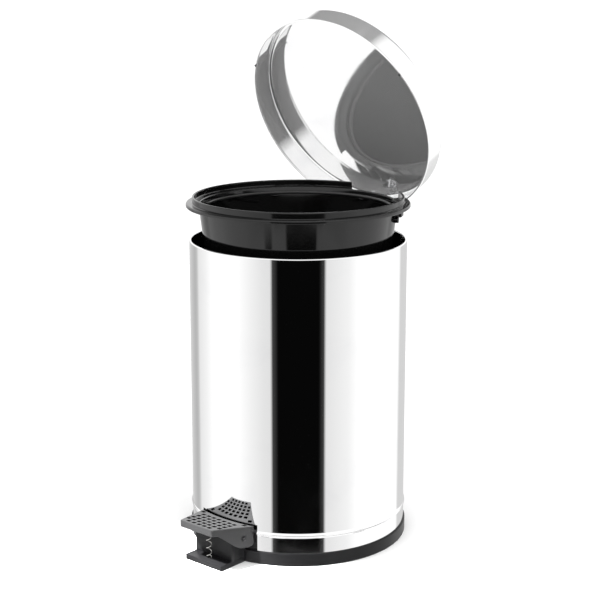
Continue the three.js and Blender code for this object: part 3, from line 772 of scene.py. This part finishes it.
class Tree:
    """A Geometry Nodes tree with named inputs, built node by node."""

    def __init__(self, name, inputs):
        self.group = bpy.data.node_groups.new(name, "GeometryNodeTree")
        self.sockets = {}
        face = self.group.interface
        face.new_socket("Geometry", in_out="INPUT", socket_type="NodeSocketGeometry")
        for key, default in inputs.items():
            kind = "NodeSocketInt" if isinstance(default, int) else "NodeSocketFloat"
            socket = face.new_socket(key, in_out="INPUT", socket_type=kind)
            socket.default_value = default
            self.sockets[key] = socket.identifier
        face.new_socket("Geometry", in_out="OUTPUT", socket_type="NodeSocketGeometry")
        self.entry = self.group.nodes.new("NodeGroupInput")
        self.exit = self.group.nodes.new("NodeGroupOutput")

    def __getitem__(self, key):
        return self.entry.outputs[key]

    def add(self, kind, settings=None, **links):
        """A node with its settings and its sockets fed by values or by other nodes' outputs."""
        node = self.group.nodes.new(kind)
        for key, value in (settings or {}).items():
            setattr(node, key, value)
        for key, value in links.items():
            place = int(key[1:]) if key[0] == "i" and key[1:].isdigit() else key.replace("_", " ")
            socket = node.inputs[place]
            if isinstance(value, bpy.types.NodeSocket):
                self.group.links.new(value, socket)
            else:
                socket.default_value = value
        return node

    def math(self, operation, a, b=0.0):
        return self.add("ShaderNodeMath", {"operation": operation}, i0=a, i1=b).outputs[0]

    def upright(self, value):
        """A vector straight up, of the value's length."""
        return self.add("ShaderNodeCombineXYZ", Z=value).outputs[0]

    def moved(self, geometry, **links):
        return self.add("GeometryNodeTransform", Geometry=geometry, **links).outputs[0]

    def here(self):
        """The x, y and z of each point."""
        position = self.add("GeometryNodeInputPosition").outputs[0]
        return self.add("ShaderNodeSeparateXYZ", Vector=position).outputs

    def squares(self, a, b):
        return self.math("ADD", self.math("MULTIPLY", a, a), self.math("MULTIPLY", b, b))

    def finish(self, geometry, material):
        whole = self.add("GeometryNodeRealizeInstances", Geometry=geometry).outputs[0]
        painted = self.add("GeometryNodeSetMaterial", Geometry=whole, Material=material)
        self.group.links.new(painted.outputs[0], self.exit.inputs[0])

    def grow(self, name, points, **values):
        """The tree's result on a mesh of loose points, as a plain mesh object."""
        data = bpy.data.meshes.new(name)
        data.from_pydata([Vector(p) for p in points], [], [])
        grown = bpy.data.objects.new(name, data)
        scene.collection.objects.link(grown)
        modifier = grown.modifiers.new("nodes", "NODES")
        modifier.node_group = self.group
        for key, value in values.items():
            modifier[self.sockets[key.replace("_", " ")]] = value
        return settle(grown)


# The tread: square pits sunk in the plate in rows, so that a net of ribs is left between them.
tread = Tree(
    "pedal_tread",
    {
        "Pitch": 0.0065, "Pit width": 0.0043, "Pit depth": 0.0021, "Rows": 13, "Margin": 0.0013,
        "Front half": PEDAL_FRONT_HALF * MM, "Rear half": PEDAL_REAR_HALF * MM,
        "Rear radius": PEDAL_REAR_R * MM,
    },
)
span = tread.math("MULTIPLY", tread["Pitch"], tread.math("SUBTRACT", tread["Rows"], 1.0))
rows = tread["Rows"]
lattice = tread.add(
    "GeometryNodeMeshGrid", Size_X=span, Size_Y=span, Vertices_X=rows, Vertices_Y=rows
).outputs[0]
slope = math.atan2(PEDAL_RISE, REAR_Y - PEDAL_FRONT)
middle_y = -117.7
lattice = tread.moved(
    lattice,
    Translation=(0, middle_y * MM + CAN_Y, plate_top(middle_y) * MM),
    Rotation=(-slope, 0, 0),
)
place = tread.here()
from_rear = tread.math("SUBTRACT", place[1], REAR_Y * MM + CAN_Y)
along = tread.math("DIVIDE", from_rear, (PEDAL_FRONT - REAR_Y) * MM)
taper = tread.math("SUBTRACT", tread["Rear half"], tread["Front half"])
narrowing = tread.math("MULTIPLY", along, taper)
half_here = tread.math("SUBTRACT", tread["Rear half"], narrowing)
margin = tread.math("ADD", tread["Margin"], tread.math("MULTIPLY", tread["Pit width"], 0.5))
too_wide = tread.math(
    "GREATER_THAN", tread.math("ABSOLUTE", place[0]), tread.math("SUBTRACT", half_here, margin)
)
from_axis = tread.math("SUBTRACT", place[1], CAN_Y)
radius_here = tread.math("SQRT", tread.squares(place[0], from_axis))
too_near = tread.math("LESS_THAN", radius_here, tread.math("ADD", tread["Rear radius"], margin))
too_far = tread.math("LESS_THAN", from_axis, tread.math("ADD", margin, PEDAL_FRONT * MM))
outside = tread.math("MAXIMUM", tread.math("MAXIMUM", too_wide, too_near), too_far)
kept = tread.add(
    "GeometryNodeDeleteGeometry", {"domain": "POINT"}, Geometry=lattice, Selection=outside
)
tool = tread.add(
    "GeometryNodeMeshCone",
    Vertices=4,
    Radius_Top=tread.math("MULTIPLY", tread["Pit width"], 0.9),
    Radius_Bottom=tread.math("MULTIPLY", tread["Pit width"], 0.5),
    Depth=tread.math("MULTIPLY", tread["Pit depth"], 2.0),
).outputs[0]
tool = tread.moved(tool, Rotation=(0, 0, math.pi / 4))
sunk = tread.upright(tread.math("MULTIPLY", tread["Pit depth"], -1.0))
tool = tread.moved(tool, Translation=sunk)
tool = tread.moved(tool, Rotation=(-slope, 0, 0))
pits = tread.add("GeometryNodeInstanceOnPoints", Points=kept.outputs[0], Instance=tool).outputs[0]
# The pits get a near-black, dull plastic of their own: painted shade in the recesses of the tread.
shaded_pit_material = moulded_plastic(
    "pit_material_painted_shade", (0.0015, 0.0015, 0.0015), (0.004, 0.004, 0.004), 0.7, 0.9, 2600.0, 0.05
)
tread.finish(pits, shaded_pit_material)
# The pedal's plastic is the base's black made paler and glossier: painted light on the pedal.
lit_pedal_plastic = moulded_plastic(
    "lit_pedal_plastic", (0.017, 0.017, 0.0175), (0.028, 0.028, 0.0285), 0.3, 0.46, 2600.0, 0.35
)
pedal.data.materials.append(lit_pedal_plastic)
cut(pedal, [tread.grow("tread_pits", [(0, 0, 0)])], material_mode="TRANSFER")
cut(pedal, [bar("pin_way", PIN_R + PLAY, (-40, PIN_Y, PIN_Z), (40, PIN_Y, PIN_Z))])
finish_piece(pedal, "pedal", None, ["pedal"])

# The pivot pin through the cheeks and ears is a plain blackened steel rod with a screwdriver slot.
dark_steel = polished_metal(
    "blackened_steel", (0.16, 0.16, 0.165), (0.07, 0.07, 0.07), 0.34, 0.55, 2400.0, 0.000004
)
PIN_HEAD = 31.05
pin = bar("pedal_pin", PIN_R, (-PIN_HEAD, PIN_Y, PIN_Z), (PIN_HEAD, PIN_Y, PIN_Z), edge=0.35)
slot_low = (PIN_HEAD - 0.4, PIN_Y - 3, PIN_Z - 0.3)
slot_high = (PIN_HEAD + 1, PIN_Y + 3, PIN_Z + 0.3)
cut(pin, [block("slot", slot_low, slot_high, 0)])
finish_piece(pin, "can", dark_steel, ["pedal_pin"])

# ---------------------------------------------------------------- lever, its screws and the spring
# A zinc-plated strip is screwed under the pedal and runs back into the base, where it lifts the
# rod. A wound spring wire between foot and pedal lifts the pedal again.
zinc = polished_metal(
    "zinc_plated_steel", (0.66, 0.66, 0.67), (0.52, 0.52, 0.55), 0.24, 0.42, 1500.0, 0.000006
)
spring_steel = polished_metal(
    "spring_wire", (0.78, 0.77, 0.74), (0.6, 0.6, 0.58), 0.16, 0.3, 3000.0, 0.000003
)


def refined(node, edge):
    """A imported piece's own shape with its loose faces merged and its edges rounded."""
    source = bpy.data.objects[node]
    mesh = bmesh.new()
    mesh.from_mesh(source.data)
    bmesh.ops.remove_doubles(mesh, verts=mesh.verts, dist=2e-6)
    bmesh.ops.dissolve_limit(
        mesh, angle_limit=math.radians(0.6), verts=mesh.verts, edges=mesh.edges
    )
    made = mesh_object(f"{node}_fine", mesh)
    bevel = made.modifiers.new("round", "BEVEL")
    bevel.width = edge * MM
    bevel.segments = 2
    bevel.limit_method = "ANGLE"
    bevel.angle_limit = math.radians(35)
    return settle(made)


def pressed(node, edge, body, angle=32):
    """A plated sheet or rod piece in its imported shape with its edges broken."""
    finish_piece(refined(node, edge), body, zinc, [node], angle)


pressed("pedal_lever", 0.25, "pedal")


def fastener(name, recess):
    """A tree for a round-headed fastener at each point: head, shank and, in a screw, a cross."""
    tree = Tree(
        name,
        {
            "Head radius": 0.0028, "Head height": 0.0009, "Shank radius": 0.0015,
            "Shank length": 0.003, "Recess": 0.0007, "Tilt": 0.0,
        },
    )
    brim = tree.math("MULTIPLY", tree["Head height"], 0.35)
    head = tree.add(
        "GeometryNodeMeshCylinder", Vertices=40, Side_Segments=1, Fill_Segments=7,
        Radius=tree["Head radius"], Depth=brim,
    ).outputs[0]
    head = tree.moved(head, Translation=tree.upright(tree.math("MULTIPLY", brim, 0.5)))
    spot = tree.here()
    whole = tree.math("MULTIPLY", tree["Head radius"], tree["Head radius"])
    share = tree.math("DIVIDE", tree.squares(spot[0], spot[1]), whole)
    crown = tree.math("SQRT", tree.math("MAXIMUM", tree.math("SUBTRACT", 1.0, share), 0.0))
    lift = tree.math("MULTIPLY", crown, tree.math("SUBTRACT", tree["Head height"], brim))
    on_top = tree.math("GREATER_THAN", spot[2], tree.math("MULTIPLY", brim, 0.5))
    head = tree.add(
        "GeometryNodeSetPosition", Geometry=head, Selection=on_top,
        Offset=tree.upright(lift),
    ).outputs[0]
    shank = tree.add(
        "GeometryNodeMeshCylinder", Vertices=24,
        Radius=tree["Shank radius"], Depth=tree["Shank length"],
    ).outputs[0]
    down = tree.math("MULTIPLY", tree["Shank length"], -0.5)
    shank = tree.moved(shank, Translation=tree.upright(tree.math("ADD", down, 0.0001)))
    joined = tree.add("GeometryNodeMeshBoolean", {"operation": "UNION"})
    for part in (shank, head):
        tree.group.links.new(part, joined.inputs["Mesh 2"])
    solid = joined.outputs[0]
    if recess:
        length = tree.math("MULTIPLY", tree["Head radius"], 1.1)
        cross = tree.add("GeometryNodeMeshBoolean", {"operation": "DIFFERENCE"}, Mesh_1=solid)
        for quarter in (0, 1):
            size = [length, tree["Recess"]] if quarter else [tree["Recess"], length]
            arm = tree.add(
                "GeometryNodeMeshCube",
                Size=tree.add(
                    "ShaderNodeCombineXYZ", X=size[0], Y=size[1],
                    Z=tree.math("MULTIPLY", tree["Head height"], 1.2),
                ).outputs[0],
            ).outputs[0]
            arm = tree.moved(arm, Translation=tree.upright(tree["Head height"]))
            tree.group.links.new(arm, cross.inputs["Mesh 2"])
        solid = cross.outputs[0]
    turn = tree.add("ShaderNodeCombineXYZ", X=tree["Tilt"]).outputs[0]
    spread_out = tree.add(
        "GeometryNodeInstanceOnPoints", Points=tree.entry.outputs["Geometry"], Instance=solid,
        Rotation=turn,
    )
    tree.finish(spread_out.outputs[0], zinc)
    return tree


cross_screw = fastener("cross_screw", True)
rivet = fastener("rivet", False)

seats = []
for i, y in enumerate((-131.5, -117.5)):
    seats.append((0, y * MM + CAN_Y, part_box(f"lever_screw_{i + 1}")[0].z + 0.0013))
shank = 0.0034       # it ends below the tread's pits
lever_screws = cross_screw.grow(
    "lever_screws", seats, Head_radius=0.0026, Head_height=0.0013, Shank_radius=0.0012,
    Shank_length=shank, Recess=0.0006, Tilt=math.pi,
)
finish_piece(lever_screws, "pedal", zinc, ["lever_screw_1", "lever_screw_2"])


def tube(name, points, radius, sides):
    """A round wire in metres along points, closed at its ends."""
    curve = bpy.data.curves.new(name, "CURVE")
    curve.dimensions = "3D"
    curve.bevel_depth = radius
    curve.bevel_resolution = max(sides // 4 - 1, 1)
    curve.use_fill_caps = True
    spline = curve.splines.new("POLY")
    spline.points.add(len(points) - 1)
    for point, place in zip(spline.points, points):
        point.co = (*place, 1)
    made = bpy.data.objects.new(name, curve)
    scene.collection.objects.link(made)
    bpy.context.view_layer.update()
    mesh = bmesh.new()
    mesh.from_mesh(made.evaluated_get(bpy.context.evaluated_depsgraph_get()).to_mesh())
    bpy.data.objects.remove(made)
    bmesh.ops.remove_doubles(mesh, verts=mesh.verts, dist=1e-6)
    bmesh.ops.recalc_face_normals(mesh, faces=mesh.faces)
    return mesh_object(name, mesh)


spring_low, spring_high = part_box("return_spring")
SPRING_Y, SPRING_R, SPRING_WIRE, TURNS = -124.5, 2.4, 0.5, 4.6
wire_low = spring_low.z + (SPRING_WIRE + 0.05) * MM
wire_high = spring_high.z - (SPRING_WIRE + 0.05) * MM
coils = []
STEPS = 150
for i in range(STEPS + 1):
    t = i / STEPS
    turn = 2 * math.pi * TURNS * t
    rise = min(max((t - 0.12) / 0.76, 0), 1)
    coils.append((
        SPRING_R * MM * math.cos(turn),
        SPRING_Y * MM + CAN_Y + SPRING_R * MM * math.sin(turn),
        wire_low + (wire_high - wire_low) * (0.06 * t + 0.94 * rise),
    ))
spring = tube("return_spring_wire", coils, SPRING_WIRE * MM, 12)
spring.data.materials.append(spring_steel)
spring.data.shade_smooth()
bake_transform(spring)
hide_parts("return_spring")

# ---------------------------------------------------------------- push rod and its guides
# A bent wire, zinc plated, carries the lever's lift up the inside of the body to the lid. Two
# moulded clips, riveted to the body, keep it upright.


def bent(corners, radius, steps=7):
    """A path through corners with a round bend at each, everything in metres."""
    places = [Vector(corner) for corner in corners]
    path = [places[0]]
    for before, here, after in zip(places, places[1:], places[2:]):
        back, on = (before - here), (after - here)
        reach = min(radius, back.length / 2.1, on.length / 2.1)
        start, end = here + back.normalized() * reach, here + on.normalized() * reach
        for i in range(steps + 1):
            t = i / steps
            path.append(start * (1 - t) ** 2 + here * 2 * t * (1 - t) + end * t**2)
    return path + [places[-1]]


rod_low, rod_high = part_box("push_rod")
reach = ROD_R * MM
rod = tube(
    "push_rod_wire",
    bent(
        [
            (ROD_X * MM, rod_low.y + 0.0002, rod_low.z + reach),
            (ROD_X * MM, rod_high.y - reach, rod_low.z + reach),
            (ROD_X * MM, rod_high.y - reach, rod_high.z - reach),
            (rod_low.x + 0.0002, rod_high.y - reach, rod_high.z - reach),
        ],
        0.003,
    ),
    reach, 20,
)
finish_piece(rod, "rod", zinc, ["push_rod"])
for node in ("rod_guide_1", "rod_guide_2"):
    finish_piece(refined(node, 0.3), "can", black_plastic, [node])

GUIDE_RIVETS = ((-5, 90), (-5, 220))
BRACKET_RIVETS = ((-6.5, 272), (6.5, 272))


def rivet_spots(names, spots, head):
    """Rivet seats on the back of the can: the heads' outer faces less their thickness."""
    return [
        (x * MM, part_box(name)[1].y - head * MM, z * MM) for name, (x, z) in zip(names, spots)
    ]


guide_names = ["guide_rivet_1", "guide_rivet_2"]
guide_rivets = rivet.grow(
    "guide_rivets", rivet_spots(guide_names, GUIDE_RIVETS, 0.9), Shank_length=0.005,
    Tilt=-math.pi / 2,
)
finish_piece(guide_rivets, "can", zinc, guide_names)

# ---------------------------------------------------------------- hinge
# The bracket is pressed from plated sheet, curved to sit on the body, and held by two rivets.
# The pin through its ears has a head on each side.
pressed("hinge_bracket", 0.3, "can")
bracket_names = ["bracket_rivet_1", "bracket_rivet_2"]
bracket_rivets = rivet.grow(
    "bracket_rivets", rivet_spots(bracket_names, BRACKET_RIVETS, 0.9), Shank_length=0.004,
    Tilt=-math.pi / 2,
)
finish_piece(bracket_rivets, "can", zinc, bracket_names)
pressed("hinge_pin", 0.3, "can", 40)

# ---------------------------------------------------------------- lid
# The lid is a pressed steel cap, mirror polished, with its mouth rolled over. The leaf behind
# carries its knuckles and the slotted crank that the rod pushes.
LID_R, MOUTH, DEPTH = 102.0, 290.4, 25.0
HINGE_Y, HINGE_Z, OPEN_ANGLE = 109.9, 297.4, math.radians(66)
ROLLED = 0.95         # radius of the roll at the mouth
LID_EDGE = 3.9        # radius between disc and skirt
crown = [(LID_R * i / 24 * 0.955, DEPTH - 0.35 * (i / 24) ** 2) for i in range(25)]
edge_z = DEPTH - LID_EDGE - 0.35
lid = turned(
    "lid_shell",
    [(r, z + MOUTH - SHEET) for r, z in crown]
    + [(r, z + MOUTH) for r, z in arc(LID_R - LID_EDGE, edge_z, LID_EDGE - SHEET, 78, 0, 8)]
    + [(LID_R - SHEET, MOUTH + 2.3)]
    + [(r, z) for r, z in arc(102.8 - ROLLED, MOUTH + ROLLED, ROLLED, 150, 410, 14)]
    + [(LID_R, MOUTH + 2.3)]
    + [(r, z + MOUTH) for r, z in arc(LID_R - LID_EDGE, edge_z, LID_EDGE, 0, 78, 8)]
    + [(r, z + MOUTH) for r, z in reversed(crown)],
    steps=288,
)


def turn_about(piece, degrees, centre=(0, CAN_Y, 0), axis="Z"):
    """Turns a piece's mesh about an axis through centre, in metres."""
    middle = Vector(centre)
    turn = Matrix.Rotation(math.radians(degrees), 4, axis)
    piece.data.transform(Matrix.Translation(middle) @ turn @ Matrix.Translation(-middle))
    return piece


hem_gap = turned(
    "hem_gap", [(99, MOUTH - 1), (101.15, MOUTH - 1), (101.15, MOUTH + 2.4), (99, MOUTH + 2.4)]
)
cut(hem_gap, [block("back", (-68, 50, MOUTH - 2), (68, 110, MOUTH + 4), 0)], "INTERSECT")
cut(lid, [hem_gap, block("crank_way", (-8.6, 90, MOUTH - 1), (5.4, 110, MOUTH + 9), 1.0)])
HINGE_AT = (0, HINGE_Y * MM + CAN_Y, HINGE_Z * MM)
OPEN_DEGREES = math.degrees(OPEN_ANGLE)
turn_about(lid, -OPEN_DEGREES, HINGE_AT, "X")
lid_steel = polished_metal(
    "lid_polished_steel", (0.97, 0.97, 0.97), (0.93, 0.93, 0.935), 0.05, 0.09, 700.0, 0.000003, 0.8
)
finish_piece(lid, "lid", lid_steel, ["lid"])

pressed("lid_leaf", 0.25, "lid")
leaf_seats = []
for x in (-10.5, 10.5):
    spot = Vector((x, HINGE_Y - 104.0, HINGE_Z - MOUTH - 17)) * -MM
    spot.x = x * MM
    leaf_seats.append(Vector(HINGE_AT) + Matrix.Rotation(-OPEN_ANGLE, 3, "X") @ spot)
leaf_rivets = rivet.grow(
    "leaf_rivets", leaf_seats, Shank_length=0.004, Tilt=-math.pi / 2 - OPEN_ANGLE
)
finish_piece(leaf_rivets, "lid", zinc, ["leaf_rivet_1", "leaf_rivet_2"])
for node in ("lid_buffer_1", "lid_buffer_2"):
    finish_piece(refined(node, 0.15), "lid", rubber, [node])

# ---------------------------------------------------------------- bucket and bail
# The lift-out bucket is moulded in a glossier black plastic, with a curled flange to lift it by
# and a lip that the lid closes round. Its bail is wire with a black coating.
BUCKET_Z, BUCKET_DEPTH = 319.0, 253.0
BAIL_TURN, BAIL_Z, BAIL_R, BAIL_WIRE, BAIL_REACH = 26, -3.4, 88.4, 1.5, 99.6

# Shiny surface: faint waves where the plastic shrank, and a fine drift of tone.
shiny_group, made, wire, group_in, group_out = value_group(
    "sink_and_flow",
    {"Scale": 24.0},
    {"Height": "NodeSocketFloat", "Drift": "NodeSocketFloat"},
)
slow = noise(made, wire, group_in.outputs["Vector"], 30.0, 1.0)
wire(group_in.outputs["Scale"], slow.inputs["Scale"])
fine = noise(made, wire, group_in.outputs["Vector"], 900.0, 2.0)
wire(slow.outputs["Fac"], group_out.inputs["Height"])
wire(fine.outputs["Fac"], group_out.inputs["Drift"])


gloss_black = plastic(
    "gloss_black_plastic", ((0.002, 0.002, 0.002), (0.004, 0.004, 0.004)), (0.05, 0.12),
    (shiny_group, {"Scale": 26.0}), (26.0, 0.8), (0.0004, 0.25),
)
outline = (
    [(0, -BUCKET_DEPTH), (74, -BUCKET_DEPTH)]
    + arc(76, -BUCKET_DEPTH + 2, 2, 270, 358, 5)
    + [(88.5, -40), (93.3, -0.7), (93.9, 0), (103.6, 0), (104.1, -0.4)]
    + arc(104.75, -0.65, 0.55, 180, 360, 6)
    + arc(104.0, 0.7, 1.3, 0, 90, 6)
    + [(100.2, 2.1), (99.55, 2.6)]
    + arc(98.6, 7.15, 0.85, 0, 90, 5)
    + arc(98.2, 7.15, 0.85, 90, 180, 5)
    + [(97.2, 3.0), (96.6, 2.3), (92.6, 1.6)]
    + arc(92.4, 0.6, 0.9, 110, 180, 4)
    + [(86.7, -40)]
    + [(76.2, -BUCKET_DEPTH + 4.2)]
    + arc(74.2, -BUCKET_DEPTH + 4, 2, 0, -90, 5)
    + [(0, -BUCKET_DEPTH + 2)]
)
bucket = turned("bucket_moulding", [(r, z + BUCKET_Z) for r, z in outline], steps=256)


def sector(name, radius, start, end, low):
    """A cutter for everything outside a radius between two angles, above low."""
    turns = [math.radians(start + (end - start) * i / 24) for i in range(25)]
    plan = [(radius * math.cos(a), radius * math.sin(a)) for a in turns]
    plan += [(125 * math.cos(a), 125 * math.sin(a)) for a in reversed(turns)]
    return slab(name, plan, BUCKET_Z + low, BUCKET_Z + 13, edge=0)


cut(bucket, [sector("gap", 93, 53, 98.5, -6), sector("relief", 99.5, 53, 129, -3)])
ears = []
for side in (BAIL_TURN, BAIL_TURN + 180):
    ear = block("ear", (92, -5.5, BUCKET_Z - 8.2), (BAIL_REACH, 5.5, BUCKET_Z + 0.5), 0.9)
    boss = bar("boss", 3.2, (91, 0, BUCKET_Z - 11), (BAIL_REACH - 3.6, 0, BUCKET_Z - 11), edge=0.5)
    ears += [turn_about(ear, side), turn_about(boss, side)]
ledge_top = BUCKET_Z + BAIL_Z - BAIL_WIRE - PLAY
for at in (60, 120, 240, 300):
    ledge = block("ledge", (86.6, -2.5, ledge_top - 2.2), (91.2, 2.5, ledge_top), 0.4)
    ears.append(turn_about(ledge, BAIL_TURN + at))
cut(bucket, ears, "UNION")
bore = bar(
    "bore", BAIL_WIRE + PLAY, (-110, 0, BUCKET_Z + BAIL_Z), (110, 0, BUCKET_Z + BAIL_Z)
)
cut(bucket, [turn_about(bore, BAIL_TURN)])
finish_piece(bucket, "bucket", gloss_black, ["bucket"])

coating = moulded_plastic(
    "wire_coating", (0.014, 0.014, 0.014), (0.022, 0.022, 0.022), 0.28, 0.42, 1800.0
)
half_ring = [
    Vector((BAIL_R * math.cos(math.pi * i / 72), BAIL_R * math.sin(math.pi * i / 72), 0))
    for i in range(73)
]
end = BAIL_REACH - 1.2
path = [Vector((end, 0, 0)), half_ring[0] + Vector((0.01, 0, 0))] + half_ring[1:-1]
path += [half_ring[-1] + Vector((-0.01, 0, 0)), Vector((-end, 0, 0))]
placed = [
    Matrix.Rotation(math.radians(BAIL_TURN), 3, "Z") @ point * MM
    + Vector((0, CAN_Y, (BUCKET_Z + BAIL_Z) * MM))
    for point in path
]
bail = tube("bail_wire", bent(placed, 0.0025, 5), BAIL_WIRE * MM, 20)
finish_piece(bail, "bail", coating, ["bail"], angle=60)

# ---------------------------------------------------------------- base screws
# Three cross-head screws of plated steel go up through bosses under the base's floor. Their
# heads sit in from below, out of sight when the can stands.
base_names = ["base_screw_1", "base_screw_2", "base_screw_3"]
seats = []
for name, (x, y) in zip(base_names, SCREW_SPOTS):
    seats.append((x * MM, y * MM + CAN_Y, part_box(name)[0].z + 0.0014))
base_screws = cross_screw.grow(
    "base_screws", seats, Head_radius=0.0034, Head_height=0.0014, Shank_radius=0.0016,
    Shank_length=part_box("base_screw_1")[1].z - seats[0][2], Recess=0.0008, Tilt=math.pi,
)
finish_piece(base_screws, "can", zinc, base_names)

low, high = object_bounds()
